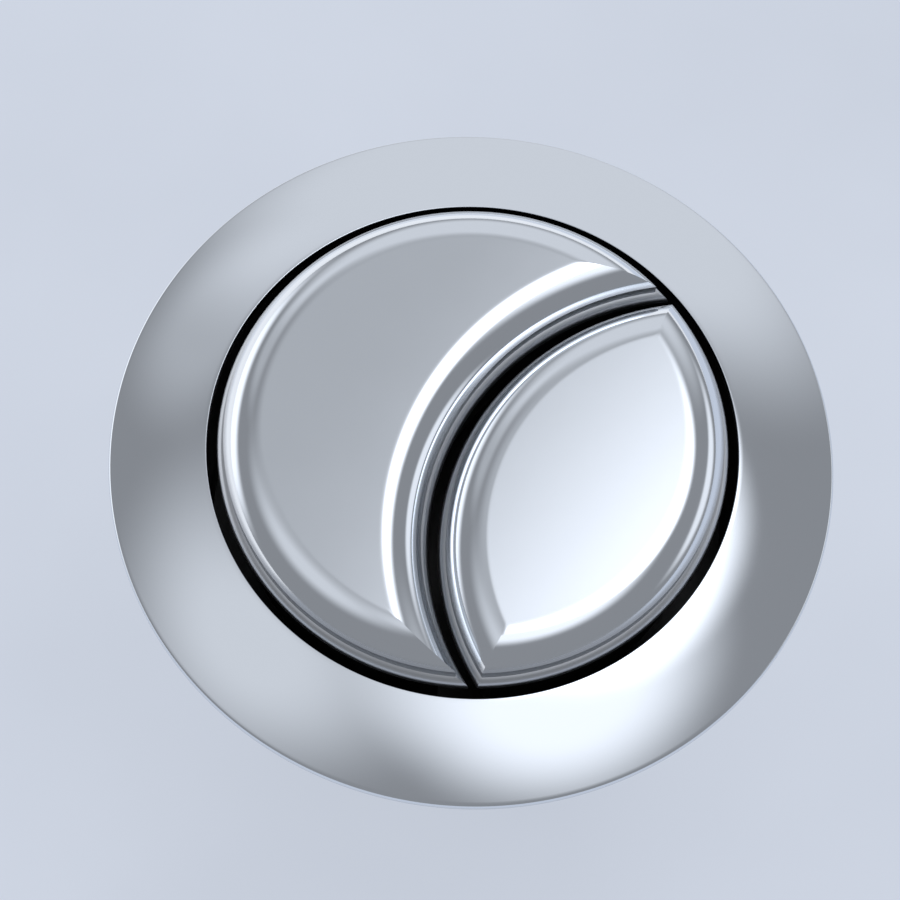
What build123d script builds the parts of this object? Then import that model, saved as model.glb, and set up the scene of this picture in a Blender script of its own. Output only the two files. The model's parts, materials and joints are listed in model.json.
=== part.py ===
"""Round dual-flush push button for a cistern lid.

A dished chrome escutcheon and a threaded barrel are clamped to the lid by a ring nut. Two chrome caps, a
crescent for the full flush and a lens for the half flush, each ride on a keyed, sprung plunger that pushes
a rod down onto the flush valve. Millimetres. The origin is on the barrel's axis at the lid's top face,
+Z points up out of the lid, and +X points to the half-flush cap, so the part is symmetric about XZ.
"""

import math
import os

from build123d import *

# Escutcheon
escutcheon_diameter = 73.0
escutcheon_width = 9.95  # from the outer edge to the bore
crest_height = 4.0  # inner edge above the lid
rim_height = 0.8  # outer edge above the lid
rim_width = 1.4  # ring of the rim that sits on the lid
slope_crown_height = 0.25  # slope's middle over a straight cone
crest_thickness = 1.1
crest_radius = 0.2
rim_radius = 0.45
peg_diameter = 2.4
peg_count = 4

# Caps
cap_clearance = 1.05  # caps' edge to the escutcheon's bore
divide_setback = 2.15  # full-flush cap's edge on the X axis, short of the barrel's axis
divide_radius = 27.45  # edge of the full-flush cap along the divide
divide_gap = 1.45
lip_height = 4.9  # underside of the caps' lip above the lid
lip_thickness = 0.45
lip_width = 0.45  # flat step between the lip's edge and the shoulder
shoulder_width = 4.25
shoulder_height = 3.3  # from the lip to the flat top, over an upright wall, a slope and a roll
shoulder_radius = 4.6
shoulder_angle = 43.0  # slope below the roll
cap_wall = 1.4
cap_roof_thickness = 1.5

# Barrel
barrel_clearance = 0.2  # barrel's bore outside the escutcheon's bore
barrel_wall = 1.45
barrel_length = 24.0  # below the lid's top face
barrel_chamfer = 0.6  # lead-in at the lower end
flange_setback = 3.1  # flange's edge inside the escutcheon's rim
floor_height = 7.0  # top of the floor above the barrel's lower end
floor_thickness = 2.0
floor_rib_thickness = 1.6
guide_wall = 1.3
guide_height = 10.0  # guide tubes above the floor
guide_setback = 1.0  # lower end of the guide tubes and ribs above the barrel's

# Clamping
gasket_thickness = 0.8
gasket_overhang = 0.4  # gasket beyond the flange
gasket_gap = 0.3  # gasket to the barrel, and washer to the thread
lid_thickness = 8.0
washer_thickness = 1.5
nut_height = 7.0
nut_flange_thickness = 1.8
nut_wall = 1.3
nut_grip_height = 0.8
nut_grip_width = 3.6
nut_grip_count = 12
nut_thread_gap = 0.7  # nut's bore to the barrel's wall, filled by the thread

# Plungers
plunger_gap = 0.1  # plunger inside the cap
plate_thickness = 3.0
skirt_wall = 1.2
skirt_depth = 6.0  # skirts' lower edge below the lid's top face
rib_thickness = 1.2
rib_height = 3.0
rib_count = 4
hub_step_width = 1.5  # hub's edge beyond the stem
stem_length = 13.0  # below the guide tube
stem_clearance = 0.08  # running clearance in the guide, on the radius
key_width = 2.0
key_height = 0.8
key_clearance = 0.1
stop_clearance = 0.1

# Return springs
wire_diameter = 1.0
spring_clearance = 1.1  # coil to the full-flush plunger's skirt
spring_gap = 0.4  # coil to the guide tube and to the plungers' ribs
spring_seat_gap = 0.05
spring_turn_count = 6

# Retaining clips
clip_thickness = 0.8
clip_band_width = 1.4
clip_rim_width = 2.0  # clip's rim beyond the stem
clip_hook_width = 0.9  # mouth's closing round the groove, each side
groove_depth = 0.8
groove_clearance = 0.05

# Cap screws
screw_diameter = 3.0
screw_head_diameter = 5.6
screw_head_height = 1.8
screw_head_radius = 0.6
screw_recess_depth = 1.0
screw_length = 3.2  # inside the cap's pillar
full_screw_clearance = 2.3  # full-flush cap's screws to the spring, across the cap
half_screw_clearance = 0.8
pillar_wall = 1.0
pillar_clearance = 0.15
pillar_setback = 0.1  # pillar's end above the plate's underside

# Push rods
socket_wall = 1.15  # of the stem, round the rod
socket_depth = 9.0  # rod inside the stem
thread_gap = 0.3  # stem's and lock nut's bore to the rod, filled by the thread
rod_length = 22.0  # below the stem
rod_chamfer = 0.5
lock_nut_wall = 1.95  # at the flats
lock_nut_height = 5.0
lock_nut_chamfer = 0.6
foot_collar_wall = 2.0
foot_collar_height = 4.0
foot_step_width = 1.7  # foot's edge beyond its collar
foot_height = 4.0
foot_radius = 1.2
foot_socket_depth = 5.5  # rod inside the foot
foot_gap = 0.05

# Worked out from the sizes above: the escutcheon and the caps
escutcheon_r = escutcheon_diameter / 2
seat_r = escutcheon_r - rim_width
bore_r = escutcheon_r - escutcheon_width
cap_r = bore_r - cap_clearance
divide_x = divide_radius - divide_setback
lens_radius = divide_radius - divide_gap
flat_inset = lip_width + shoulder_width
lip_top = lip_height + lip_thickness
cap_top = lip_top + shoulder_height
roll_width = shoulder_radius * math.sin(math.radians(shoulder_angle))
roll_drop = shoulder_radius * (1 - math.cos(math.radians(shoulder_angle)))
slope_fall = math.tan(math.radians(shoulder_angle))
press_travel = cap_top - crest_height

# The barrel and what clamps it
barrel_bore_r = bore_r + barrel_clearance
barrel_r = barrel_bore_r + barrel_wall
flange_r = seat_r - flange_setback
peg_circle_r = (barrel_r + flange_r) / 2
floor_top = floor_height - barrel_length
guide_top = floor_top + guide_height
guide_bottom = guide_setback - barrel_length
nut_top = -lid_thickness - washer_thickness
nut_bore_r = barrel_r + nut_thread_gap
nut_ring_r = nut_bore_r + nut_wall
nut_r = nut_ring_r + nut_grip_height

# The plungers, from the room inside the full-flush cap down to the rods
plate_top = cap_top - cap_roof_thickness
plate_bottom = plate_top - plate_thickness
plunger_inset = cap_wall + plunger_gap
skirt_inset = plunger_inset + skirt_wall
full_stem_x = (-cap_r - divide_setback) / 2
half_stem_x = (cap_r - divide_setback + divide_gap) / 2
wire_r = wire_diameter / 2
coil_r = (cap_r - divide_setback) / 2 - skirt_inset - spring_clearance - wire_r
guide_r = coil_r - wire_r - spring_gap
guide_bore_r = guide_r - guide_wall - key_height - key_clearance
stem_r = guide_bore_r - stem_clearance
stem_bottom = guide_bottom - stem_length
hub_bottom = guide_top + press_travel + stop_clearance
clip_top = guide_bottom - stop_clearance
clip_r = stem_r + clip_rim_width
groove_r = stem_r - groove_depth
rod_bore_r = stem_r - socket_wall
rod_r = rod_bore_r - thread_gap
rod_bottom = stem_bottom - rod_length
pillar_r = screw_diameter / 2 + pillar_wall
screw_y = coil_r + wire_r + screw_head_diameter / 2

os.makedirs("parts", exist_ok=True)


def underside(radius):
    """Height of the escutcheon's underside, a cone from the rim's seat to the crest."""
    rise = crest_height - crest_thickness
    return rise * (seat_r - radius) / (seat_r - bore_r)


def shoulder_line(edge, inset, drop, bottom, side):
    """Half section of a button body, from its axis under the lip's edge and up the shoulder to the flat top."""
    lip_x = edge + side * inset
    wall_x = lip_x + side * lip_width
    head = (edge + side * (flat_inset + inset / 2), cap_top - drop)
    turn = (head[0] - side * roll_width, head[1] - roll_drop)
    foot = (wall_x, turn[1] - side * (turn[0] - wall_x) * slope_fall)
    Polyline((0, head[1]), (0, bottom), (lip_x, bottom), (lip_x, lip_top), (wall_x, lip_top), foot, turn)
    TangentArc(head, turn, tangent=(-side, 0))
    Line(head, (0, head[1]))


def shouldered_disc(axis_x, edge, inset, drop, bottom):
    """Round button body about a vertical axis: a flat top that rolls over a shoulder down to its edge."""
    plane = Plane(origin=(axis_x, 0, 0), x_dir=(1, 0, 0), z_dir=(0, -1, 0))
    with BuildPart() as disc:
        with BuildSketch(plane):
            with BuildLine():
                shoulder_line(edge, inset, drop, bottom, -1)
            make_face()
        revolve(axis=Axis((axis_x, 0, 0), (0, 0, 1)))
    return disc.part


def flared_plug(axis_x, edge, inset, drop, bottom):
    """What the lens takes out of the round button: a plug that flares out along the crescent's shoulder."""
    plane = Plane(origin=(axis_x, 0, 0), x_dir=(1, 0, 0), z_dir=(0, -1, 0))
    with BuildPart() as plug:
        with BuildSketch(plane):
            with BuildLine():
                shoulder_line(edge, inset, drop, bottom, 1)
            make_face()
        revolve(axis=Axis((axis_x, 0, 0), (0, 0, 1)))
    return plug.part


def crescent(inset, drop, bottom):
    """Body of the full-flush button, drawn in from its outline by inset and down from its top by drop."""
    disc = shouldered_disc(0, cap_r, inset, drop, bottom)
    plug = flared_plug(divide_x, divide_radius, inset, drop, bottom)
    return disc - plug


def lens(inset, drop, bottom):
    """Body of the half-flush button, where two shouldered discs cross, so that its corners are mitred."""
    disc = shouldered_disc(0, cap_r, inset, drop, bottom)
    other = shouldered_disc(divide_x, lens_radius, inset, drop, bottom)
    return disc & other


def crescent_outline(inset, mode=Mode.ADD):
    """The full-flush button in plan, drawn in by inset."""
    Circle(cap_r - inset, mode=mode)
    with Locations((divide_x, 0)):
        Circle(divide_radius + inset, mode=Mode.SUBTRACT)


def lens_outline(inset, mode=Mode.ADD):
    """The half-flush button in plan, drawn in by inset."""
    Circle(cap_r - inset, mode=mode)
    with Locations((divide_x, 0)):
        Circle(lens_radius - inset, mode=Mode.INTERSECT)


# Escutcheon: chrome-plated moulding, a bulged cone with a rolled crest, pegged to the barrel's flange
with BuildPart() as escutcheon:
    with BuildSketch(Plane.XZ):
        with BuildLine():
            Polyline(
                (bore_r, crest_height),
                (bore_r, crest_height - crest_thickness),
                (seat_r, 0),
                (escutcheon_r, 0),
                (escutcheon_r, rim_height),
            )
            SagittaArc((escutcheon_r, rim_height), (bore_r, crest_height), -slope_crown_height)
        make_face()
        fillet(vertices().group_by(Axis.Y)[-1], crest_radius)
        fillet(vertices().sort_by(Axis.X)[-2:].sort_by(Axis.Y)[-1], rim_radius)
    revolve(axis=Axis.Z)
    with BuildSketch(Plane.XY.offset(gasket_thickness)):
        with PolarLocations(peg_circle_r, peg_count, 180 / peg_count):
            Circle(peg_diameter / 2)
    extrude(until=Until.NEXT)
escutcheon.part.label = "escutcheon"
export_step(escutcheon.part, "parts/escutcheon.step")

# Threaded barrel: black moulding with a conical flange, and a ribbed floor that carries two keyed guide tubes
with BuildPart() as barrel:
    with BuildSketch(Plane.XZ):
        with BuildLine():
            Polyline(
                (barrel_bore_r, underside(barrel_bore_r)),
                (barrel_bore_r, -barrel_length),
                (barrel_r - barrel_chamfer, -barrel_length),
                (barrel_r, -barrel_length + barrel_chamfer),
                (barrel_r, gasket_thickness),
                (flange_r, gasket_thickness),
                (flange_r, underside(flange_r)),
                close=True,
            )
        make_face()
    revolve(axis=Axis.Z)
    with BuildSketch(Plane.XY.offset(floor_top)):
        Circle(barrel_bore_r)
    extrude(amount=-floor_thickness)
    with BuildSketch(Plane.XY.offset(guide_bottom)):
        with Locations((full_stem_x, 0), (half_stem_x, 0)):
            Circle(guide_r)
    extrude(amount=guide_top - guide_bottom)
    with BuildSketch(Plane.XY.offset(guide_bottom)):
        Rectangle(2 * barrel_bore_r, floor_rib_thickness)
        with Locations((full_stem_x, 0), (half_stem_x, 0)):
            Rectangle(floor_rib_thickness, 2 * barrel_bore_r)
        Circle(barrel_bore_r, mode=Mode.INTERSECT)
    extrude(amount=floor_top - floor_thickness - guide_bottom)
    with BuildSketch(Plane.XY.offset(guide_bottom)):
        with Locations((full_stem_x, 0), (half_stem_x, 0)):
            Circle(guide_bore_r)
            with Locations((0, stem_r)):
                Rectangle(key_width + 2 * key_clearance, 2 * (key_height + key_clearance))
    extrude(amount=guide_top - guide_bottom, mode=Mode.SUBTRACT)
    with BuildSketch(Plane.XY.offset(gasket_thickness)):
        with PolarLocations(peg_circle_r, peg_count, 180 / peg_count):
            Circle(peg_diameter / 2)
    extrude(amount=crest_height, mode=Mode.SUBTRACT)
barrel.part.label = "threaded_barrel"
export_step(barrel.part, "parts/threaded_barrel.step")

# Lid gasket: flat rubber ring under the flange, which seals the lid's hole
with BuildPart() as gasket:
    with BuildSketch():
        Circle(flange_r + gasket_overhang)
        Circle(barrel_r + gasket_gap, mode=Mode.SUBTRACT)
    extrude(amount=gasket_thickness)
gasket.part.label = "lid_gasket"
export_step(gasket.part, "parts/lid_gasket.step")

# Nut washer: rubber ring between the lid's underside and the ring nut
with BuildPart() as washer:
    with BuildSketch(Plane.XY.offset(nut_top)):
        Circle(nut_r)
        Circle(nut_bore_r + gasket_gap, mode=Mode.SUBTRACT)
    extrude(amount=washer_thickness)
washer.part.label = "nut_washer"
export_step(washer.part, "parts/nut_washer.step")

# Ring nut: moulded, a clamping flange over a thin ring with grips for the fingers
with BuildPart() as ring_nut:
    with BuildSketch(Plane.XY.offset(nut_top)):
        Circle(nut_r)
    extrude(amount=-nut_flange_thickness)
    with BuildSketch(Plane.XY.offset(nut_top - nut_height)):
        Circle(nut_ring_r)
        with PolarLocations(nut_ring_r, nut_grip_count):
            Rectangle(2 * nut_grip_height, nut_grip_width)
        Circle(nut_r, mode=Mode.INTERSECT)
    extrude(amount=nut_height - nut_flange_thickness)
    with Locations((0, 0, nut_top)):
        Hole(nut_bore_r)
ring_nut.part.label = "ring_nut"
export_step(ring_nut.part, "parts/ring_nut.step")


def arc_x(radius, y):
    """How far a circle reaches along X, from its centre, at a distance y from the X axis."""
    return math.sqrt(radius**2 - y**2)


def full_screw_sites():
    """The full-flush cap's two screws, midway across the crescent."""
    y = screw_y + full_screw_clearance
    x = (divide_x - arc_x(divide_radius, y) - arc_x(cap_r, y)) / 2
    return Locations((x, y), (x, -y))


def half_screw_sites():
    """The half-flush cap's two screws, midway across the lens."""
    y = screw_y + half_screw_clearance
    x = (divide_x - arc_x(lens_radius, y) + arc_x(cap_r, y)) / 2
    return Locations((x, y), (x, -y))


def make_cap(body, screw_sites):
    """Chrome-plated shell: the button's body hollowed from below, with a screw pillar at each screw."""
    shell = body(0, 0, lip_height) - body(cap_wall, cap_roof_thickness, lip_height)
    with BuildPart() as cap:
        add(shell)
        with BuildSketch(Plane.XY.offset(plate_bottom + pillar_setback)):
            with screw_sites():
                Circle(pillar_r)
        extrude(until=Until.NEXT)
        with BuildSketch(Plane.XY.offset(plate_bottom + pillar_setback)):
            with screw_sites():
                Circle(screw_diameter / 2)
        extrude(amount=screw_length, mode=Mode.SUBTRACT)
    return cap.part


def make_plunger(body, outline, stem_x, screw_sites):
    """Black moulding inside a cap: a ribbed plate with a skirt, a hub and a keyed stem with a rod socket."""
    block = body(plunger_inset, cap_roof_thickness, -skirt_depth)
    with BuildPart() as plunger:
        add(block)
        with BuildSketch(Plane.XY.offset(-skirt_depth)):
            outline(skirt_inset)
        extrude(amount=skirt_depth + plate_bottom, mode=Mode.SUBTRACT)
        with BuildSketch(Plane.XY.offset(plate_bottom)):
            with Locations((stem_x, 0)):
                with PolarLocations(coil_r + wire_r + spring_gap + cap_r / 2, rib_count, 180 / rib_count):
                    Rectangle(cap_r, rib_thickness)
            outline(plunger_inset + skirt_wall / 2, Mode.INTERSECT)
        extrude(amount=-rib_height)
        with BuildSketch(Plane.XY.offset(plate_bottom)):
            with Locations((stem_x, 0)):
                Circle(stem_r + hub_step_width)
        extrude(amount=hub_bottom - plate_bottom)
        with BuildSketch(Plane.XY.offset(hub_bottom)):
            with Locations((stem_x, 0)):
                Circle(stem_r)
                with Locations((0, stem_r)):
                    Rectangle(key_width, 2 * key_height)
        extrude(amount=stem_bottom - hub_bottom)
        with BuildSketch(Plane.XY.offset(clip_top + groove_clearance)):
            with Locations((stem_x, 0)):
                Circle(stem_r + 2 * key_height)
                Circle(groove_r, mode=Mode.SUBTRACT)
        extrude(amount=-clip_thickness - 2 * groove_clearance, mode=Mode.SUBTRACT)
        with BuildSketch(Plane.XY.offset(stem_bottom)):
            with Locations((stem_x, 0)):
                Circle(rod_bore_r)
        extrude(amount=socket_depth, mode=Mode.SUBTRACT)
        with BuildSketch(Plane.XY.offset(plate_top)):
            with screw_sites():
                Circle(pillar_r + pillar_clearance)
        extrude(amount=-plate_thickness, mode=Mode.SUBTRACT)
    return plunger.part


def make_screws(screw_sites):
    """Two pan-head screws, driven up through the plate into the cap's pillars."""
    with BuildPart() as screws:
        with BuildSketch(Plane.XY.offset(plate_bottom)):
            with screw_sites():
                Circle(screw_head_diameter / 2)
        extrude(amount=-screw_head_height)
        fillet(edges().group_by(Axis.Z)[0], screw_head_radius)
        with BuildSketch(Plane.XY.offset(plate_bottom)):
            with screw_sites():
                Circle(screw_diameter / 2)
        extrude(amount=pillar_setback + screw_length)
        with BuildSketch(Plane.XY.offset(plate_bottom - screw_head_height)):
            with screw_sites():
                RegularPolygon(screw_diameter / 2, 6)
        extrude(amount=screw_recess_depth, mode=Mode.SUBTRACT)
    return screws.part


def make_spring(stem_x):
    """Compression spring round the guide tube, from the barrel's floor to the plunger's plate."""
    low = floor_top + wire_r + spring_seat_gap
    high = plate_bottom - wire_r - spring_seat_gap
    pitch = (high - low) / spring_turn_count
    with BuildPart() as spring:
        with BuildLine() as coil:
            Helix(pitch, high - low, coil_r, center=(stem_x, 0, low))
        with BuildSketch(Plane(origin=coil.line @ 0, z_dir=coil.line % 0)):
            Circle(wire_r)
        sweep(path=coil.line, is_frenet=True)
    return spring.part


def make_clip(stem_x):
    """Spring-steel E-clip in the stem's groove, which stops the plunger against the guide tube."""
    band_r = clip_r - clip_band_width / 2
    with BuildPart() as clip:
        with BuildSketch(Plane.XY.offset(clip_top)):
            with Locations((stem_x, 0)):
                Circle(clip_r)
                Circle(clip_r - clip_band_width, mode=Mode.SUBTRACT)
                with PolarLocations(band_r, 3, 90):
                    Rectangle(2 * band_r, clip_band_width)
                Circle(groove_r + groove_clearance, mode=Mode.SUBTRACT)
                with Locations((0, -clip_r)):
                    Rectangle(2 * (groove_r - clip_hook_width), 2 * clip_r, mode=Mode.SUBTRACT)
                Circle(clip_r, mode=Mode.INTERSECT)
        extrude(amount=-clip_thickness)
    return clip.part


def make_rod(stem_x):
    """Threaded push rod, screwed into the stem's socket and cut to suit the cistern."""
    with BuildPart() as rod:
        with BuildSketch(Plane.XY.offset(rod_bottom)):
            with Locations((stem_x, 0)):
                Circle(rod_r)
        extrude(amount=rod_length + socket_depth)
        chamfer(edges().group_by(Axis.Z)[0] + edges().group_by(Axis.Z)[-1], rod_chamfer)
    return rod.part


def make_lock_nut(stem_x):
    """Hexagon nut that locks the rod against the stem's end."""
    with BuildPart() as nut:
        with BuildSketch(Plane.XY.offset(stem_bottom)):
            with Locations((stem_x, 0)):
                RegularPolygon(rod_bore_r + lock_nut_wall, 6, major_radius=False)
        extrude(amount=-lock_nut_height)
        chamfer(edges().group_by(Axis.Z)[0], lock_nut_chamfer)
        with BuildSketch(Plane.XY.offset(stem_bottom)):
            with Locations((stem_x, 0)):
                Circle(rod_bore_r)
        extrude(amount=-lock_nut_height, mode=Mode.SUBTRACT)
    return nut.part


def make_foot(stem_x):
    """Push foot on the rod's end: a collar that grips the rod over a broad rounded pad."""
    collar_top = rod_bottom + foot_socket_depth
    collar_r = rod_r + foot_gap + foot_collar_wall
    with BuildPart() as foot:
        with BuildSketch(Plane.XY.offset(collar_top)):
            with Locations((stem_x, 0)):
                Circle(collar_r)
        extrude(amount=-foot_collar_height)
        with BuildSketch(Plane.XY.offset(collar_top - foot_collar_height)):
            with Locations((stem_x, 0)):
                Circle(collar_r + foot_step_width)
        extrude(amount=-foot_height)
        fillet(edges().group_by(Axis.Z)[0], foot_radius)
        with BuildSketch(Plane.XY.offset(collar_top)):
            with Locations((stem_x, 0)):
                Circle(rod_r + foot_gap)
        extrude(amount=-foot_socket_depth, mode=Mode.SUBTRACT)
    return foot.part


# The two buttons, alike but for their outline, their screws and their side of the barrel
buttons = {
    "full_flush": (crescent, crescent_outline, full_stem_x, full_screw_sites),
    "half_flush": (lens, lens_outline, half_stem_x, half_screw_sites),
}
for button, (body, outline, stem_x, screw_sites) in buttons.items():
    pieces = {
        "cap": make_cap(body, screw_sites),
        "plunger": make_plunger(body, outline, stem_x, screw_sites),
        "cap_screws": make_screws(screw_sites),
        "return_spring": make_spring(stem_x),
        "retaining_clip": make_clip(stem_x),
        "push_rod": make_rod(stem_x),
        "lock_nut": make_lock_nut(stem_x),
        "push_foot": make_foot(stem_x),
    }
    for piece, solid in pieces.items():
        solid.label = f"{button}_{piece}"
        export_step(solid, f"parts/{button}_{piece}.step")
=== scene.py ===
import json
import math

import bmesh
import bpy
from mathutils import Matrix, Quaternion, Vector


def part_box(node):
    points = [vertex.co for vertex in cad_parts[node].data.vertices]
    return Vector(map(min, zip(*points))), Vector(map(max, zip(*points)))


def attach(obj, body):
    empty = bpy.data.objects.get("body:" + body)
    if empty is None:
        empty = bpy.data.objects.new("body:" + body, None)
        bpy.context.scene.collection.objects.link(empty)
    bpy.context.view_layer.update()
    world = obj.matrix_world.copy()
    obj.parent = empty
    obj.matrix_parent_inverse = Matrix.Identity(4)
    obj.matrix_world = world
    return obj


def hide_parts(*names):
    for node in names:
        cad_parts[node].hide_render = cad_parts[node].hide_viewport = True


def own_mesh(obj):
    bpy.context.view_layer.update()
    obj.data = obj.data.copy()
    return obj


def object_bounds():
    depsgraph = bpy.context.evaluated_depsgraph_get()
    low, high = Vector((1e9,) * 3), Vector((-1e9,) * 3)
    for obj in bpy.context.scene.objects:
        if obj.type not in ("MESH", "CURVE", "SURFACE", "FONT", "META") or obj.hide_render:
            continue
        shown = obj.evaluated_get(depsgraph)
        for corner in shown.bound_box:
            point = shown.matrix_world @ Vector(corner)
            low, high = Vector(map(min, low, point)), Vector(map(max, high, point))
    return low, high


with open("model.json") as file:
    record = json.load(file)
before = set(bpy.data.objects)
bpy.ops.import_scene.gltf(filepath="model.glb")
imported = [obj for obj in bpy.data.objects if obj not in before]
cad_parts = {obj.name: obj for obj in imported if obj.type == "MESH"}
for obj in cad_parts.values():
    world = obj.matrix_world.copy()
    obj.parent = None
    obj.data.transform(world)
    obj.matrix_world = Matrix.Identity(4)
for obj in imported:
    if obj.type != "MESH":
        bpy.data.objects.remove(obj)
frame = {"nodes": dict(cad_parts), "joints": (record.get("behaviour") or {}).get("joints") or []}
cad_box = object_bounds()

# Threaded barrel: the black ABS moulding that drops through the lid's hole and carries everything else, with
# two guide tubes on a ribbed floor. Its coarse outside thread, moulded with it, is swept here as a ridge.
MM = 0.001


def linear(hex_colour):
    """An sRGB hex colour as the linear RGBA that a shader takes."""
    channels = [int(hex_colour[i:i + 2], 16) / 255 for i in (1, 3, 5)]
    return [c / 12.92 if c <= 0.04045 else ((c + 0.055) / 1.055) ** 2.4 for c in channels] + [1.0]


def add_node(tree, kind, inputs=None, **settings):
    """Adds a node with its settings, and gives each named input a value or the socket that feeds it."""
    node = tree.nodes.new(kind)
    for name, value in settings.items():
        setattr(node, name, value)
    for name, value in (inputs or {}).items():
        if isinstance(value, bpy.types.NodeSocket):
            tree.links.new(value, node.inputs[name])
        else:
            node.inputs[name].default_value = value
    return node


def calculate(tree, operation, *values):
    """The result of a Math node on its values, each a number or a socket."""
    return add_node(tree, "ShaderNodeMath", dict(enumerate(values)), operation=operation).outputs[0]


def vector(tree, **axes):
    """A vector put together from X, Y and Z, each a number or a socket."""
    return add_node(tree, "ShaderNodeCombineXYZ", axes).outputs["Vector"]


def noise(tree, place, size, detail):
    """A noise whose features measure about size, in millimetres."""
    inputs = {"Vector": place, "Scale": 1 / (size * MM), "Detail": detail}
    return add_node(tree, "ShaderNodeTexNoise", inputs).outputs["Fac"]


def from_noise(tree, fac, low, high):
    """A value that runs from low to high over the middle of a noise, where most of it lies."""
    inputs = {"Value": fac, "From Min": 0.3, "From Max": 0.7, "To Min": low, "To Max": high}
    return add_node(tree, "ShaderNodeMapRange", inputs).outputs["Result"]


def colour_ramp(tree, fac, colours, positions=(0.0, 1.0)):
    """A colour that runs from one hex colour to another between two positions of a factor."""
    ramp = add_node(tree, "ShaderNodeValToRGB", {"Fac": fac})
    for element, colour, position in zip(ramp.color_ramp.elements, colours, positions):
        element.color = linear(colour)
        element.position = position
    return ramp.outputs["Color"]


def relief(tree, height, strength, depth):
    """The normal of a surface with a relief of a depth in millimetres."""
    inputs = {"Height": height, "Strength": strength, "Distance": depth * MM}
    return add_node(tree, "ShaderNodeBump", inputs).outputs["Normal"]


def empty_material(name):
    """A new material whose node tree holds nothing yet."""
    material = bpy.data.materials.new(name)
    material.use_nodes = True
    material.node_tree.nodes.clear()
    return material


def end_material(tree, inputs):
    """Ends a material with a Principled shader that has these inputs."""
    shader = add_node(tree, "ShaderNodeBsdfPrincipled", inputs)
    add_node(tree, "ShaderNodeOutputMaterial", {"Surface": shader.outputs["BSDF"]})


def moulded_plastic(name, shades, roughness, grain, grain_depth, flow=7.0):
    """Moulded plastic: a slow drift of shade and gloss from the melt's flow over the tool's fine spark grain.
    Grain, its depth and the flow marks are in millimetres."""
    gloss_swing = 0.05
    grain_strength = 0.35
    material = empty_material(name)
    tree = material.node_tree
    place = add_node(tree, "ShaderNodeTexCoord").outputs["Object"]
    drift = noise(tree, place, flow, detail=3.0)
    spark = noise(tree, place, grain, detail=2.0)
    end_material(tree, {
        "Base Color": colour_ramp(tree, drift, shades, positions=(0.35, 0.65)),
        "Roughness": from_noise(tree, drift, roughness + gloss_swing, roughness - gloss_swing),
        "Normal": relief(tree, spark, grain_strength, grain_depth),
    })
    return material


def paint(node, material):
    """Gives a CAD node its material."""
    piece = frame["nodes"][node]
    piece.data.materials.clear()
    piece.data.materials.append(material)


def tidy(mesh, crease=30.0):
    """Closes a mesh's seams, turns its faces outwards and shades it smooth up to a crease in degrees."""
    seam = 0.0005 * MM
    shape = bmesh.new()
    shape.from_mesh(mesh)
    bmesh.ops.remove_doubles(shape, verts=shape.verts, dist=seam)
    bmesh.ops.recalc_face_normals(shape, faces=shape.faces)
    for face in shape.faces:
        face.smooth = True
    for edge in shape.edges:
        if len(edge.link_faces) == 2 and edge.calc_face_angle() > math.radians(crease):
            edge.smooth = False
    shape.to_mesh(mesh)
    shape.free()


def grow(name, mesh, tree, inputs):
    """Runs a Geometry Nodes tree on a mesh, with its named inputs, and keeps the result as a plain object."""
    piece = bpy.data.objects.new(name, mesh)
    bpy.context.scene.collection.objects.link(piece)
    modifier = piece.modifiers.new(tree.name, "NODES")
    modifier.node_group = tree
    for item in tree.interface.items_tree:
        if item.in_out == "INPUT" and item.name in inputs:
            modifier[item.identifier] = inputs[item.name]
    evaluated = piece.evaluated_get(bpy.context.evaluated_depsgraph_get())
    plain = bpy.data.meshes.new_from_object(evaluated)
    plain.materials.clear()
    plain.materials.append(inputs["Material"])
    piece.modifiers.remove(modifier)
    piece.data = plain
    tidy(plain)
    return piece


def new_tree(name, sizes):
    """A Geometry Nodes tree with a geometry and a material input, and one number input for each size."""
    tree = bpy.data.node_groups.new(name, "GeometryNodeTree")
    tree.interface.new_socket("Geometry", in_out="INPUT", socket_type="NodeSocketGeometry")
    for size, default in sizes.items():
        kind = "NodeSocketInt" if isinstance(default, int) else "NodeSocketFloat"
        tree.interface.new_socket(size, in_out="INPUT", socket_type=kind).default_value = default
    tree.interface.new_socket("Material", in_out="INPUT", socket_type="NodeSocketMaterial")
    tree.interface.new_socket("Geometry", in_out="OUTPUT", socket_type="NodeSocketGeometry")
    return tree


def end_tree(tree, geometry, material):
    """Ends a tree: instances made real, material set."""
    real = add_node(tree, "GeometryNodeRealizeInstances", {"Geometry": geometry})
    dressed = add_node(tree, "GeometryNodeSetMaterial", {
        "Geometry": real.outputs["Geometry"],
        "Material": material,
    })
    add_node(tree, "NodeGroupOutput", {"Geometry": dressed.outputs["Geometry"]})


# The thread's tree: a trapezium swept up a helix, added to the core that it is given, fading out at both ends
thread_tree = new_tree("screw_thread", {
    "Axis X": 0.0,
    "Bottom": 0.0,
    "Core radius": 0.01,
    "Pitch": 0.003,
    "Turns": 5.0,
    "Ridge height": 0.0006,
    "Root width": 0.002,
    "Crest width": 0.001,
    "Fade turns": 0.5,
    "Steps": 96,
})
sizes = add_node(thread_tree, "NodeGroupInput").outputs
helix = add_node(thread_tree, "GeometryNodeCurveSpiral", {
    "Resolution": sizes["Steps"],
    "Rotations": sizes["Turns"],
    "Start Radius": sizes["Core radius"],
    "End Radius": sizes["Core radius"],
    "Height": calculate(thread_tree, "MULTIPLY", sizes["Pitch"], sizes["Turns"]),
})
upright = add_node(thread_tree, "GeometryNodeSetCurveNormal", {"Curve": helix.outputs["Curve"]}, mode="Z_UP")
outwards = calculate(thread_tree, "MULTIPLY", sizes["Ridge height"], -1.0)
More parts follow.
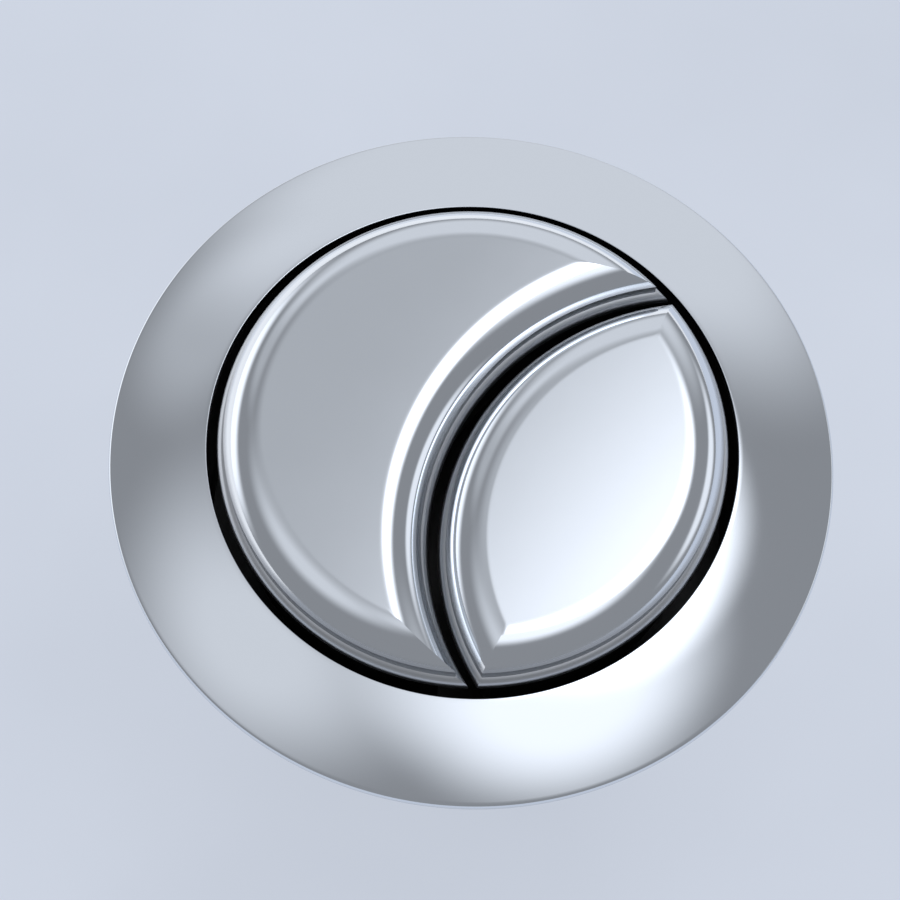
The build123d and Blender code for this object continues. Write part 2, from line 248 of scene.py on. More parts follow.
corners = [
    vector(thread_tree, X=x, Y=calculate(thread_tree, "MULTIPLY", sizes[width], share))
    for width, x, share in (
        ("Root width", 0.0, -0.5),
        ("Crest width", outwards, -0.5),
        ("Crest width", outwards, 0.5),
        ("Root width", 0.0, 0.5),
    )
]
trapezium = add_node(thread_tree, "GeometryNodeCurvePrimitiveQuadrilateral", {
    f"Point {i + 1}": corner for i, corner in enumerate(corners)
}, mode="POINTS")
along = add_node(thread_tree, "GeometryNodeSplineParameter").outputs["Factor"]
to_end = calculate(thread_tree, "PINGPONG", along, 0.5)
end_scale = 0.02
fade = add_node(thread_tree, "ShaderNodeMapRange", {
    "Value": calculate(thread_tree, "MULTIPLY", to_end, sizes["Turns"]),
    "From Max": sizes["Fade turns"],
    "To Min": end_scale,
}, interpolation_type="SMOOTHSTEP")
ridge = add_node(thread_tree, "GeometryNodeCurveToMesh", {
    "Curve": upright.outputs["Curve"],
    "Profile Curve": trapezium.outputs["Curve"],
    "Scale": fade.outputs["Result"],
    "Fill Caps": True,
})
placed = add_node(thread_tree, "GeometryNodeTransform", {
    "Geometry": ridge.outputs["Mesh"],
    "Translation": vector(thread_tree, X=sizes["Axis X"], Z=sizes["Bottom"]),
})
joined = add_node(thread_tree, "GeometryNodeJoinGeometry", {"Geometry": sizes["Geometry"]})
thread_tree.links.new(placed.outputs["Geometry"], joined.inputs["Geometry"])
end_tree(thread_tree, joined.outputs["Geometry"], sizes["Material"])

# Black ABS: satin, with a faint spark grain that spreads its highlights
black_abs = moulded_plastic("black_abs", ("#101012", "#16171A"), 0.36, grain=0.35, grain_depth=0.02)
paint("threaded_barrel", black_abs)
barrel_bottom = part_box("threaded_barrel")[0].z
barrel_radius = 28.2 * MM
thread_start = 1.6 * MM  # above the barrel's lower end
thread_sink = 0.05 * MM  # foot of the ridge inside the wall
barrel_thread = grow("barrel_thread", bpy.data.meshes.new("barrel_thread"), thread_tree, {
    "Bottom": barrel_bottom + thread_start,
    "Core radius": barrel_radius - thread_sink,
    "Pitch": 3.0 * MM,
    "Turns": 6.9,
    "Ridge height": 0.6 * MM,
    "Root width": 2.0 * MM,
    "Crest width": 0.9 * MM,
    "Steps": 128,
    "Material": black_abs,
})
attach(barrel_thread, "housing")

# Lid gasket and nut washer: flat rings of black EPDM rubber, punched from sheet, one under the barrel's
# flange and one between the lid's underside and the ring nut. The sheet has a fine cloth-like grain.


def rounded(corners, steps=5):
    """A closed profile through corners of (radius, height, rounding), with an arc at each rounded one."""
    profile = []
    for i, (r, z, rounding) in enumerate(corners):
        here = Vector((r, z))
        if not rounding:
            profile.append(here)
            continue
        back = (Vector(corners[i - 1][:2]) - here).normalized()
        on = (Vector(corners[(i + 1) % len(corners)][:2]) - here).normalized()
        half = back.angle(on) / 2
        centre = here + (back + on).normalized() * rounding / math.sin(half)
        start = here + back * rounding / math.tan(half) - centre
        sweep = start.angle_signed(here + on * rounding / math.tan(half) - centre)
        for k in range(steps + 1):
            turn = -sweep * k / steps
            spun = Vector((
                start.x * math.cos(turn) - start.y * math.sin(turn),
                start.x * math.sin(turn) + start.y * math.cos(turn),
            ))
            profile.append(centre + spun)
    return profile


def turned(profile, steps=128, axis_x=0.0):
    """A profile of (radius, height) in millimetres, turned about a vertical axis into a mesh in metres."""
    shape = bmesh.new()
    turns = [2 * math.pi * k / steps for k in range(steps)]
    rings = []
    for r, z in profile:
        if r == 0:
            rings.append([shape.verts.new((axis_x * MM, 0, z * MM))] * steps)
            continue
        rings.append([
            shape.verts.new(((axis_x + r * math.cos(t)) * MM, r * math.sin(t) * MM, z * MM)) for t in turns
        ])
    for lower, upper in zip(rings, rings[1:] + rings[:1]):
        for k in range(steps):
            corners = dict.fromkeys((lower[k - 1], lower[k], upper[k], upper[k - 1]))
            if len(corners) > 2:
                shape.faces.new(corners)
    mesh = bpy.data.meshes.new("turned")
    shape.to_mesh(mesh)
    shape.free()
    tidy(mesh)
    return mesh


def make_piece(name, mesh, material):
    """A finished mesh as an object of the scene."""
    mesh.name = name
    mesh.materials.clear()
    mesh.materials.append(material)
    piece = bpy.data.objects.new(name, mesh)
    bpy.context.scene.collection.objects.link(piece)
    return piece


# EPDM rubber: matt and nearly black, with a pale bloom in patches and the sheet's fine grain
epdm_rubber = moulded_plastic(
    "epdm_rubber", ("#131314", "#1E1F20"), 0.72, grain=0.5, grain_depth=0.06, flow=4.0
)
rubber_rounding = 0.15
for node, bore in {"lid_gasket": 28.5, "nut_washer": 29.2}.items():
    low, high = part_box(node)
    bottom, top, outer = low.z / MM, high.z / MM, high.x / MM
    ring_section = rounded([
        (bore, bottom, rubber_rounding),
        (bore, top, rubber_rounding),
        (outer, top, rubber_rounding),
        (outer, bottom, rubber_rounding),
    ])
    seal = make_piece(f"{node}_ring", turned(ring_section), epdm_rubber)
    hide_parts(node)
    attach(seal, "housing")

# Ring nut: grey polypropylene, run up the barrel's thread by hand to clamp the lid. A flange takes the load,
# and twelve grips stand on the thin ring below it, each with rounded flanks.
grip_tree = new_tree("pieces_round_a_ring", {"Count": 12, "Radius": 0.03, "Height": 0.0, "First angle": 0.0})
sizes = add_node(grip_tree, "NodeGroupInput").outputs
ring = add_node(grip_tree, "GeometryNodeMeshCircle", {"Vertices": sizes["Count"], "Radius": sizes["Radius"]})
index = add_node(grip_tree, "GeometryNodeInputIndex").outputs["Index"]
step = calculate(grip_tree, "DIVIDE", 2 * math.pi, sizes["Count"])
copies = add_node(grip_tree, "GeometryNodeInstanceOnPoints", {
    "Points": ring.outputs["Mesh"],
    "Instance": sizes["Geometry"],
    "Rotation": vector(grip_tree, Z=calculate(grip_tree, "MULTIPLY", index, step)),
})
placed = add_node(grip_tree, "GeometryNodeTransform", {
    "Geometry": copies.outputs["Instances"],
    "Translation": vector(grip_tree, Z=sizes["Height"]),
    "Rotation": vector(grip_tree, Z=sizes["First angle"]),
})
end_tree(grip_tree, placed.outputs["Geometry"], sizes["Material"])


def join(name, *pieces):
    """Several objects' meshes as one piece, under the first one's material."""
    shape = bmesh.new()
    for piece in pieces:
        shape.from_mesh(piece.data)
    material = pieces[0].data.materials[0]
    for piece in pieces:
        bpy.data.objects.remove(piece)
    mesh = bpy.data.meshes.new(name)
    shape.to_mesh(mesh)
    shape.free()
    tidy(mesh)
    return make_piece(name, mesh, material)


# Grey polypropylene: waxy and even, softer in gloss than the black, with visible flow marks
grey_polypropylene = moulded_plastic(
    "grey_polypropylene", ("#8B9095", "#9AA0A5"), 0.44, grain=0.4, grain_depth=0.02, flow=9.0
)
low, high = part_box("ring_nut")
nut_bottom, nut_top, flange_radius = low.z / MM, high.z / MM, high.x / MM
nut_bore = 28.9
nut_ring = 30.2
flange_thickness = 1.8
flange_bottom = nut_top - flange_thickness
bore_rounding = 0.25
edge_rounding = 0.3
nut_section = rounded([
    (nut_bore, nut_bottom, bore_rounding),
    (nut_bore, nut_top, bore_rounding),
    (flange_radius, nut_top, edge_rounding),
    (flange_radius, flange_bottom, edge_rounding),
    (nut_ring, flange_bottom, edge_rounding),
    (nut_ring, nut_bottom, edge_rounding),
])
nut_body = make_piece("nut_body", turned(nut_section, steps=192), grey_polypropylene)
grip_count = 12
grip_depth = 1.0
grip_width = 3.6
grip_sink = 0.4  # top of a grip inside the flange
grip_rounding = 0.28
grip_length = flange_bottom - nut_bottom + grip_sink
grip_shape = bmesh.new()
bmesh.ops.create_cube(grip_shape, size=1.0)
grip_size = Vector((grip_depth, grip_width, grip_length)) * MM
bmesh.ops.scale(grip_shape, verts=grip_shape.verts, vec=grip_size)
bmesh.ops.bevel(
    grip_shape, geom=grip_shape.edges[:], offset=grip_rounding * MM, segments=4, profile=0.5, affect="EDGES"
)
grip_mesh = bpy.data.meshes.new("nut_grip")
grip_shape.to_mesh(grip_mesh)
grip_shape.free()
grips = grow("nut_grips", grip_mesh, grip_tree, {
    "Count": grip_count,
    "Radius": (flange_radius - grip_depth / 2) * MM,
    "Height": low.z + grip_length / 2 * MM,
    "Material": grey_polypropylene,
})
ring_nut = join("ring_nut_moulding", nut_body, grips)
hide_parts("ring_nut")
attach(ring_nut, "housing")

# Plungers: black ABS mouldings, a ribbed plate and skirt under each cap with a keyed stem that runs in the
# guide. They keep the shape of their solids.
buttons = ("full_flush", "half_flush")
for button in buttons:
    paint(f"{button}_plunger", black_abs)

# Return springs: drawn stainless wire, cold coiled with one closed turn at each end, round each guide tube.
# Each stands on the barrel's floor.
spring_tree = new_tree("compression_spring", {
    "Axis X": 0.0,
    "Bottom": 0.0,
    "Coil radius": 0.007,
    "Wire radius": 0.0005,
    "Turns": 7.0,
    "Closed pitch": 0.001,
    "Open pitch": 0.003,
    "Steps": 56,
})
sizes = add_node(spring_tree, "NodeGroupInput").outputs
flat_coil = add_node(spring_tree, "GeometryNodeCurveSpiral", {
    "Resolution": sizes["Steps"],
    "Rotations": sizes["Turns"],
    "Start Radius": sizes["Coil radius"],
    "End Radius": sizes["Coil radius"],
    "Height": 0.0,
})
along = add_node(spring_tree, "GeometryNodeSplineParameter").outputs["Factor"]
turn = calculate(spring_tree, "MULTIPLY", along, sizes["Turns"])
open_turn = add_node(spring_tree, "ShaderNodeClamp", {
    "Value": turn,
    "Min": 1.0,
    "Max": calculate(spring_tree, "SUBTRACT", sizes["Turns"], 1.0),
})
past_first = calculate(spring_tree, "SUBTRACT", open_turn.outputs["Result"], 1.0)
opening = calculate(spring_tree, "SUBTRACT", sizes["Open pitch"], sizes["Closed pitch"])
open_rise = calculate(spring_tree, "MULTIPLY", past_first, opening)
wire_height = calculate(spring_tree, "MULTIPLY_ADD", turn, sizes["Closed pitch"], open_rise)
coil = add_node(spring_tree, "GeometryNodeSetPosition", {
    "Geometry": flat_coil.outputs["Curve"],
    "Offset": vector(spring_tree, Z=wire_height),
})
upright = add_node(spring_tree, "GeometryNodeSetCurveNormal", {
    "Curve": coil.outputs["Geometry"],
}, mode="Z_UP")
section = add_node(spring_tree, "GeometryNodeCurvePrimitiveCircle", {
    "Resolution": 14,
    "Radius": sizes["Wire radius"],
})
wire = add_node(spring_tree, "GeometryNodeCurveToMesh", {
    "Curve": upright.outputs["Curve"],
    "Profile Curve": section.outputs["Curve"],
    "Fill Caps": True,
})
placed = add_node(spring_tree, "GeometryNodeTransform", {
    "Geometry": wire.outputs["Mesh"],
    "Translation": vector(spring_tree, X=sizes["Axis X"], Z=sizes["Bottom"]),
})
end_tree(spring_tree, placed.outputs["Geometry"], sizes["Material"])


def steel(name, shades, roughness, mark, mark_depth, stretch):
    """Bright steel: the colour and gloss drift along fine marks, drawn out along the vertical by stretch.
    The marks and their depth are in millimetres."""
    gloss_swing = 0.06
    mark_strength = 0.3
    material = empty_material(name)
    tree = material.node_tree
    place = add_node(tree, "ShaderNodeTexCoord").outputs["Object"]
    drawn = add_node(tree, "ShaderNodeMapping", {"Vector": place, "Scale": (1.0, 1.0, 1 / stretch)})
    marks = noise(tree, drawn.outputs["Vector"], mark, detail=3.0)
    end_material(tree, {
        "Base Color": colour_ramp(tree, marks, shades, positions=(0.3, 0.7)),
        "Metallic": 1.0,
        "Roughness": from_noise(tree, marks, roughness - gloss_swing, roughness + gloss_swing),
        "Normal": relief(tree, marks, mark_strength, mark_depth),
    })
    return material


# Spring steel: drawn stainless wire, bright but scored by the die, so its highlights break up along the wire
spring_steel = steel(
    "stainless_spring_wire", ("#B9B7B2", "#D2D0CC"), 0.24, mark=0.25, mark_depth=0.01, stretch=0.5
)
press_travel = frame["joints"][0]["range_m"][1]
wire_radius = 0.5 * MM
closed_pitch = 1.04 * MM
spring_turns = 8.0
for button in buttons:
    low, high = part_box(f"{button}_return_spring")
    spring_x = (low.x + high.x) / 2
    wire_rise = high.z - low.z - 2 * wire_radius
    spring = grow(f"{button}_spring_wire", bpy.data.meshes.new(f"{button}_spring_wire"), spring_tree, {
        "Axis X": spring_x,
        "Bottom": low.z + wire_radius,
        "Coil radius": (high.x - low.x) / 2 - wire_radius,
        "Wire radius": wire_radius,
        "Turns": spring_turns,
        "Closed pitch": closed_pitch,
        "Open pitch": (wire_rise - 2 * closed_pitch) / (spring_turns - 2),
        "Material": spring_steel,
    })
    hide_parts(f"{button}_return_spring")
    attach(spring, "housing")
    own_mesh(spring)

# Retaining clips: E-clips stamped from spring steel, pushed into each stem's groove below the guide tube.
# They keep the shape of their solids.

# Stamped spring steel: a duller, greyer bright than the wire, with coarser rolling marks
stamped_steel = steel(
    "stamped_spring_steel", ("#A9A8A4", "#C4C3BF"), 0.3, mark=0.4, mark_depth=0.015, stretch=3.0
)
for button in buttons:
    paint(f"{button}_retaining_clip", stamped_steel)

# Caps: chrome-plated ABS shells, whose flat top rolls over a steep shoulder to a ledge and a rounded lip. The
# crescent and the lens meet along the divide, with their shoulders mitred at the corners, and two pillars in
# each take its screws. Heights are above the lid, and insets are from a cap's edge.
outer_radius = 25.5
divide_x = {"full_flush": 25.55, "half_flush": 26.3}
divide_radius = {"full_flush": 27.45, "half_flush": 27.1}
inset_sign = {"full_flush": 1, "half_flush": -1}  # an inset widens the crescent's arc and narrows the lens's
cap_top = 8.65
flat_inset = 4.7
flat_band = 0.2  # strip that keeps the flat top's shading level
roll_radius = 4.6
slope_angle = math.radians(52)
wall_inset = 0.7
ledge_rise = 0.08
lip_height = 4.2
lip_width = 0.5
lip_tilt = math.radians(30)
edge_bottom = 3.9
cap_wall = 1.4
roof_thickness = 1.5
hollow_inset = 1.85
hollow_step = 5.35
hollow_slope = math.radians(43)
pillar_radius = 2.5
pillar_bore = 1.5
pillar_bottom = 4.25
pillar_sink = 0.2  # top of a pillar inside the roof
screw_y = {"full_flush": 12.975, "half_flush": 11.475}


def spread(start, end, steps):
    """Evenly spaced values from start to end."""
    return [start + (end - start) * k / steps for k in range(steps + 1)]


def cap_ring(button, inset, steps=128):
    """The cap's outline drawn in by inset: the round edge, then the edge along the divide."""
    outer = outer_radius - inset
    divide = divide_radius[button] + inset_sign[button] * inset
    centre = divide_x[button]
    corner_x = (centre**2 + outer**2 - divide**2) / (2 * centre)
    corner_y = math.sqrt(outer**2 - corner_x**2)
    outer_turn = math.atan2(corner_y, corner_x)
    divide_turn = math.atan2(corner_y, corner_x - centre)
    if button == "full_flush":
        outer_turns = spread(outer_turn, 2 * math.pi - outer_turn, steps)
        divide_turns = spread(2 * math.pi - divide_turn, divide_turn, steps)
    else:
        outer_turns = spread(-outer_turn, outer_turn, steps)
        divide_turns = spread(divide_turn, 2 * math.pi - divide_turn, steps)
    outer_edge = [(outer * math.cos(t), outer * math.sin(t)) for t in outer_turns]
    divide_edge = [(centre + divide * math.cos(t), divide * math.sin(t)) for t in divide_turns]
    return outer_edge + divide_edge[1:-1]


def shoulder(head, top, wall, slope, steps):
    """Points of (inset, height) from a flat top, over a roll and down a slope, to the foot on a wall."""
    roll = [
        (head - roll_radius * math.sin(t), top - roll_radius * (1 - math.cos(t)))
        for t in spread(0, slope, steps)
    ]
    foot = roll[-1][1] - (roll[-1][0] - wall) * math.tan(slope)
    return [(head + flat_band, top), *roll, (wall, foot)]


def cap_section():
    """The shell's section as (inset, height): the top, the shoulder, the ledge, the lip, then the hollow."""
    lip_radius = lip_width / (1 - math.sin(lip_tilt))
    lip = [
        (lip_radius * (1 - math.sin(t)), lip_height + lip_radius * math.cos(t))
        for t in spread(lip_tilt, math.pi / 2, 10)
    ]
    roof = cap_top - roof_thickness
    hollow = shoulder(flat_inset + cap_wall / 2, roof, hollow_inset, hollow_slope, steps=12)
    return [
        *shoulder(flat_inset, cap_top, wall_inset, slope_angle, steps=36),
        (wall_inset, lip[0][1] + ledge_rise),
        *lip,
        (0, edge_bottom),
        (cap_wall, edge_bottom),
        (cap_wall, hollow_step),
        (hollow_inset, hollow_step),
        *reversed(hollow),
    ]


def cap_mesh(button):
    """The cap's shell: a ring of vertices for each point of its section, closed by the top and the roof."""
    shape = bmesh.new()
    rings = []
    for inset, height in cap_section():
        rings.append([shape.verts.new((x * MM, y * MM, height * MM)) for x, y in cap_ring(button, inset)])
    for ring, next_ring in zip(rings, rings[1:]):
        for k in range(len(ring)):
            shape.faces.new((ring[k - 1], ring[k], next_ring[k], next_ring[k - 1]))
    for ring in (rings[0], rings[-1]):
        for k in range(len(ring) // 2):
            quad = dict.fromkeys((ring[k], ring[k + 1], ring[-k - 1], ring[-k % len(ring)]))
            shape.faces.new(quad)
    mesh = bpy.data.meshes.new(button)
    shape.to_mesh(mesh)
    shape.free()
    tidy(mesh, crease=14.0)
    return mesh


def chrome_plate(name, shade_and_dull_from, shade_and_dull_full):
    """Bright chrome over moulded plastic: a mirror, a little blue, with a faint orange peel and wiping marks.
    Between two heights in millimetres the colour is painted greyer, as shade towards a recess, and the gloss
    softens where the plating thins."""
    haze_size = 14
    clear_roughness = 0.05
    hazy_roughness = 0.1
    dull_roughness = 0.26  # added where the plating is thin, under the painted shade
    peel_size = 2.2
    peel_depth = 0.01
    peel_strength = 0.06
    material = empty_material(name)
    tree = material.node_tree
    place = add_node(tree, "ShaderNodeTexCoord").outputs["Object"]
    height = add_node(tree, "ShaderNodeSeparateXYZ", {"Vector": place}).outputs["Z"]
    # Painted shade: low down towards the recess the chrome's colour is painted greyer, as shade there; the
    # same mask softens its gloss
    painted_shade_low = add_node(tree, "ShaderNodeMapRange", {
        "Value": height,
        "From Min": shade_and_dull_from * MM,
        "From Max": shade_and_dull_full * MM,
    }, interpolation_type="SMOOTHSTEP").outputs["Result"]
    haze = noise(tree, place, haze_size, detail=4.0)
    peel = noise(tree, place, peel_size, detail=1.0)
    gloss = from_noise(tree, haze, clear_roughness, hazy_roughness)
    end_material(tree, {
        # The grey second colour is the painted shade
        "Base Color": colour_ramp(tree, painted_shade_low, ("#EAEFF5", "#C8CBCF")),
        "Metallic": 1.0,
        "Roughness": calculate(tree, "MULTIPLY_ADD", painted_shade_low, dull_roughness, gloss),
        "Normal": relief(tree, peel, peel_strength, peel_depth),
    })
    return material


# Bright chrome: a cool mirror on the tops, with painted shade greying it and a softer gloss from the foot of
# the shoulder down to the lip
chrome = chrome_plate("bright_chrome_on_abs", shade_and_dull_from=7.0, shade_and_dull_full=6.45)
pillar_top = cap_top - roof_thickness + pillar_sink
pillar_section = [
    (pillar_bore, pillar_bottom),
    (pillar_radius, pillar_bottom),
    (pillar_radius, pillar_top),
    (pillar_bore, pillar_top),
]
for button in buttons:
    shell = make_piece("cap_shell", cap_mesh(button), chrome)
    low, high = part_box(f"{button}_cap_screws")
    pillar_x = (low.x + high.x) / 2 / MM
    pillars = []
    for side in (-1, 1):
        pillar = make_piece("pillar", turned(pillar_section, 32, pillar_x), chrome)
        pillar.data.transform(Matrix.Translation((0, side * screw_y[button] * MM, 0)))
        pillars.append(pillar)
    cap = join(f"{button}_cap_shell", shell, *pillars)
    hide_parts(f"{button}_cap")
    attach(cap, f"{button}_button")

# Cap screws: pan-head screws with a hexagon recess, driven up through each plunger's plate into the cap's
# pillars. Zinc-bright steel, in the shape of their solids.

# Zinc-bright steel: a cold, slightly cloudy grey
screw_steel = steel(
    "zinc_bright_steel", ("#A8ABAE", "#C6C9CB"), 0.28, mark=0.3, mark_depth=0.01, stretch=1.0
)
for button in buttons:
    paint(f"{button}_cap_screws", screw_steel)

# Push rods, lock nuts and feet: white acetal rods with a moulded thread, screwed into the stems, each held by
# a grey hexagon nut and ending in a broad white foot that presses on the flush valve.

# White acetal: milky and smooth, with a soft sheen and hardly any grain
white_acetal = moulded_plastic(
    "white_acetal", ("#DAD9D3", "#E4E3DD"), 0.34, grain=0.5, grain_depth=0.012, flow=6.0
)
rod_chamfer = 0.5
rod_thread_start = 1.2 * MM  # above the rod's lower end
rod_thread_sink = 0.03 * MM
for button in buttons:
    low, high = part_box(f"{button}_push_rod")
    rod_x = (low.x + high.x) / 2
    rod_radius = (high.x - low.x) / 2
    end_radius = rod_radius / MM - rod_chamfer
    rod_profile = [
        (0, low.z / MM),
        (end_radius, low.z / MM),
        (rod_radius / MM, low.z / MM + rod_chamfer),
        (rod_radius / MM, high.z / MM - rod_chamfer),
        (end_radius, high.z / MM),
        (0, high.z / MM),
    ]
    rod = grow(f"{button}_threaded_rod", turned(rod_profile, 64, rod_x / MM), thread_tree, {
        "Axis X": rod_x,
        "Bottom": low.z + rod_thread_start,
        "Core radius": rod_radius - rod_thread_sink,
        "Pitch": 1.5 * MM,
        "Turns": 19.0,
        "Ridge height": 0.29 * MM,
        "Root width": 1.1 * MM,
        "Crest width": 0.35 * MM,
        "Steps": 40,
        "Material": white_acetal,
    })
    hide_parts(f"{button}_push_rod")
    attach(rod, f"{button}_button")
    paint(f"{button}_lock_nut", grey_polypropylene)
    paint(f"{button}_push_foot", white_acetal)

# Escutcheon: a chrome-plated ABS ring with a bulged conical face and a crisp crest, pushed onto the barrel's
# flange by four pegs, with its rim on the lid.
rim_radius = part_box("escutcheon")[1].x / MM
bore_radius = 26.55
crest = 4.0
crest_thickness = 1.1
crest_rounding = 0.08
rim_height = 0.8
rim_rounding = 0.45
seat_rounding = 0.1
seat_radius = 35.1
slope_crown = 0.25


def crowned_slope(steps):
    """The face from crest to rim: a shallow arc that stands slope_crown over a cone at its middle."""
    start = Vector((bore_radius, crest))
    end = Vector((rim_radius, rim_height))
    out = Vector((crest - rim_height, rim_radius - bore_radius)).normalized()
    return [start.lerp(end, t) + out * slope_crown * 4 * t * (1 - t) for t in spread(0, 1, steps)]


face_points = crowned_slope(20)
escutcheon_section = rounded([
    (bore_radius, crest - crest_thickness, 0),
    (*face_points[0], crest_rounding),
    *[(*point, 0) for point in face_points[1:-1]],
    (*face_points[-1], rim_rounding),
    (rim_radius, 0, seat_rounding),
    (seat_radius, 0, 0),
], steps=8)
# Bright chrome: the same mirror, with painted shade greying it and a softer gloss only at the foot of the rim
ring_chrome = chrome_plate("bright_chrome_on_abs_ring", shade_and_dull_from=1.0, shade_and_dull_full=-0.5)
escutcheon_ring = make_piece("escutcheon_ring", turned(escutcheon_section, steps=256), ring_chrome)
peg_count = 4
peg_circle = 30.1 * MM
peg_radius = 1.2
peg_bottom = 0.8
peg_top = 2.4
peg_rounding = 0.2
peg_profile = rounded([
    (0, peg_bottom, 0),
    (peg_radius, peg_bottom, peg_rounding),
    (peg_radius, peg_top, 0),
    (0, peg_top, 0),
])
pegs = grow("escutcheon_pegs", turned(peg_profile, 24), grip_tree, {
    "Count": peg_count,
    "Radius": peg_circle,
    "First angle": math.pi / 4,
    "Material": ring_chrome,
})
escutcheon = join("escutcheon_plated", escutcheon_ring, pegs)
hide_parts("escutcheon")
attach(escutcheon, "housing")

# Floor: a pale blue-grey sweep of studio paper, wide enough to reach the horizon, with painted light that
# runs it to white on one side. It lies just below where the feet come to when both buttons are pressed.
paper_fibre = 60
painted_light_side = (-0.85, 0.53, 0.0)
painted_light_start = 120 * MM
painted_light_full = 260 * MM
glow_share = 0.82
floor_size = 12.0
floor_gap = 0.2 * MM

# Studio paper: an even pale shade with a faint cloudiness, brightened to white on one side by painted light,
# partly glowing to the camera and in mirrors
floor_material = empty_material("studio_paper")
tree = floor_material.node_tree
place = add_node(tree, "ShaderNodeTexCoord").outputs["Object"]
fibre = noise(tree, place, paper_fibre, detail=4.0)
# Painted light: the paper's colour runs to white towards one side, as a pool of light would
across = add_node(tree, "ShaderNodeVectorMath", {0: place, 1: painted_light_side}, operation="DOT_PRODUCT")
lit = add_node(tree, "ShaderNodeMapRange", {
    "Value": across.outputs["Value"],
    "From Min": painted_light_start,
    "From Max": painted_light_full,
}, interpolation_type="SMOOTHSTEP")
colour = add_node(tree, "ShaderNodeMix", {
    "Factor": lit.outputs["Result"],
    6: colour_ramp(tree, fibre, ("#CCD3E0", "#D2D9E6"), positions=(0.3, 0.7)),
    7: linear("#FBFCFF"),
}, data_type="RGBA").outputs[2]
paper = add_node(tree, "ShaderNodeBsdfPrincipled", {"Base Color": colour, "Roughness": 0.9})
glow = add_node(tree, "ShaderNodeEmission", {"Color": colour, "Strength": 1.0})
ray = add_node(tree, "ShaderNodeLightPath").outputs
seen = ray["Is Camera Ray"]
for kind in ("Is Glossy Ray", "Is Transmission Ray"):
    seen = calculate(tree, "MAXIMUM", seen, ray[kind])
surface = add_node(tree, "ShaderNodeMixShader", {
    "Fac": calculate(tree, "MULTIPLY", seen, glow_share),
    1: paper.outputs["BSDF"],
    2: glow.outputs["Emission"],
})
add_node(tree, "ShaderNodeOutputMaterial", {"Surface": surface.outputs["Shader"]})
floor_shape = bmesh.new()
bmesh.ops.create_grid(floor_shape, x_segments=1, y_segments=1, size=floor_size)
floor_level = cad_box[0][2] - press_travel - floor_gap
bmesh.ops.translate(floor_shape, verts=floor_shape.verts, vec=(0, 0, floor_level))
floor_mesh = bpy.data.meshes.new("floor")
floor_shape.to_mesh(floor_mesh)
floor_shape.free()
make_piece("floor", floor_mesh, floor_material)

# Studio: a grey room for the chrome to mirror, with soft boxes overhead, a pale wall beyond and low strips at
# the sides, and one wide lamp. A box lies so many degrees round from straight beyond the part, to the right,
# and down from overhead. Its width and height are shares of the room's radius.
view_azimuth = math.radians(21.4)
world = bpy.data.worlds.new("studio")
world.use_nodes = True
tree = world.node_tree
tree.nodes.clear()
direction = add_node(tree, "ShaderNodeTexCoord").outputs["Generated"]
seen = add_node(tree, "ShaderNodeMapping", {
    "Vector": direction,
    "Rotation": (0, 0, -view_azimuth),
}).outputs["Vector"]
room_grey = 0.3
soft_boxes = {
    "overhead": dict(round=50, down=20, width=0.35, height=0.35, edge=0.6, strength=1.7),
    "overhead_near": dict(round=120, down=15, width=0.45, height=0.45, edge=0.7, strength=0.9),
    "ceiling": dict(round=0, down=20, width=0.45, height=0.45, edge=0.8, strength=0.2),
    "ceiling_left": dict(round=-100, down=25, width=0.5, height=0.5, edge=0.8, strength=0.45),
    "wall_beyond": dict(round=5, down=60, width=0.75, height=0.55, edge=0.5, strength=0.45),
    "wall_left": dict(round=-40, down=50, width=0.3, height=0.3, edge=0.7, strength=0.2),
    "left_strip": dict(round=-65, down=85, width=0.7, height=0.35, edge=0.6, strength=1.0),
    "right_strip": dict(round=75, down=75, width=0.6, height=0.2, edge=0.6, strength=0.7),
}
light = room_grey
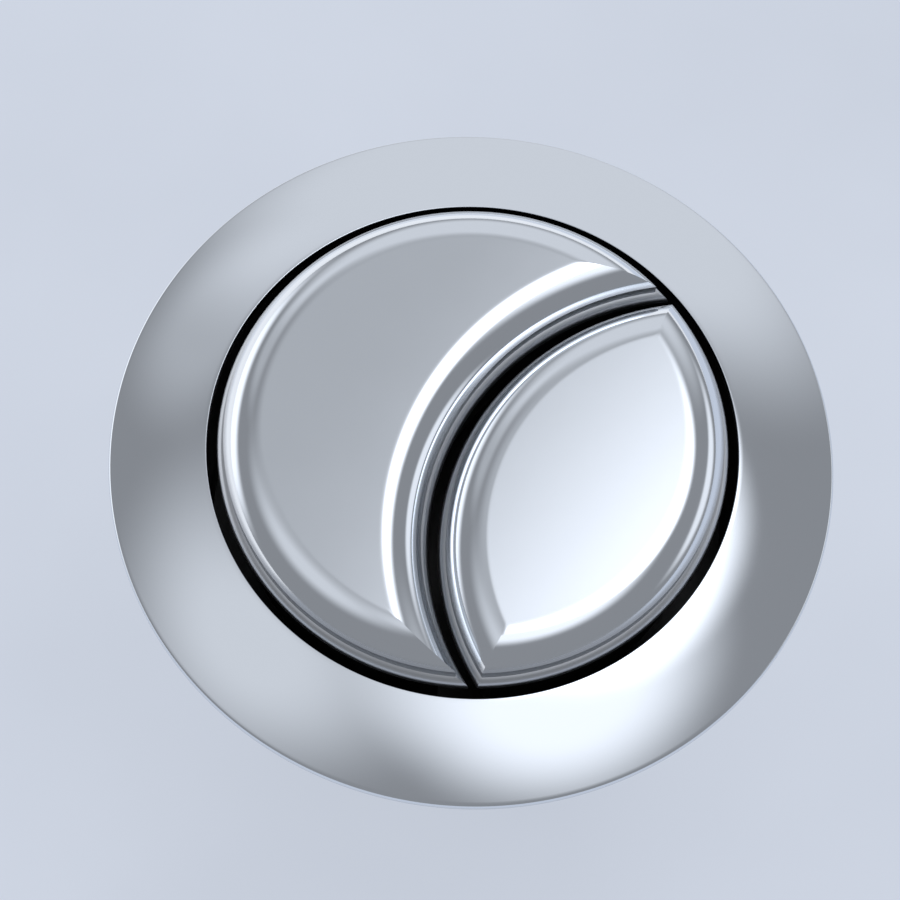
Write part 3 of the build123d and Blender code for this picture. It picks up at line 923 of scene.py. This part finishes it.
for box in soft_boxes.values():
    turn = math.radians(box["round"])
    down = math.radians(box["down"])
    centre = Vector((math.sin(turn) * math.sin(down), math.cos(turn) * math.sin(down), math.cos(down)))
    local = add_node(tree, "ShaderNodeMapping", {
        "Vector": seen,
        "Location": centre,
        "Rotation": centre.to_track_quat("Z", "Y").to_euler(),
        "Scale": (box["width"], box["height"], 1.0),
    }, vector_type="TEXTURE").outputs["Vector"]
    falloff = add_node(tree, "ShaderNodeTexGradient", {"Vector": local}, gradient_type="SPHERICAL")
    glow = add_node(tree, "ShaderNodeMapRange", {
        "Value": falloff.outputs["Fac"],
        "From Max": box["edge"],
        "To Max": box["strength"],
    }, interpolation_type="SMOOTHSTEP")
    light = calculate(tree, "ADD", glow.outputs["Result"], light)
background = add_node(tree, "ShaderNodeBackground", {"Color": linear("#F6F9FF"), "Strength": light})
add_node(tree, "ShaderNodeOutputWorld", {"Surface": background.outputs["Background"]})
bpy.context.scene.world = world
lamp_size = 1.5
lamp_height = 1.5
lamp_watts = 12.5
lamp = bpy.data.lights.new("wide_lamp", "AREA")
lamp.shape = "SQUARE"
lamp.size = lamp_size
lamp.energy = lamp_watts
lamp_object = bpy.data.objects.new("wide_lamp", lamp)
lamp_object.location = (0, 0, lamp_height)
lamp_object.visible_glossy = False
bpy.context.scene.collection.objects.link(lamp_object)

# Camera: a long lens, a third of a metre away and high over the part, tilted a little, as the photograph is.
# The image's width, the focal length and the offset of the part from the image's centre are in pixels.
image_width = 900
focal_length = 3272
centre_offset = Vector((-21.9, 9.9, 0))
sensor_width = 36.0
view_distance = 330 * MM
view_elevation = math.radians(67.54)
view_roll = math.radians(4.05)
place = view_distance * Vector((
    math.cos(view_elevation) * math.sin(view_azimuth),
    -math.cos(view_elevation) * math.cos(view_azimuth),
    math.sin(view_elevation),
))
roll = Quaternion((0, 0, 1), view_roll)
aim = ((-place).to_track_quat("-Z", "Y") @ roll) @ (centre_offset * view_distance / focal_length)
lens = bpy.data.cameras.new("photo_camera")
lens.sensor_width = sensor_width
lens.lens = sensor_width * focal_length / image_width
camera = bpy.data.objects.new("photo_camera", lens)
camera.location = place
camera.rotation_euler = ((aim - place).to_track_quat("-Z", "Y") @ roll).to_euler()
bpy.context.scene.collection.objects.link(camera)
bpy.context.scene.camera = camera
bpy.context.scene.view_settings.view_transform = "Standard"
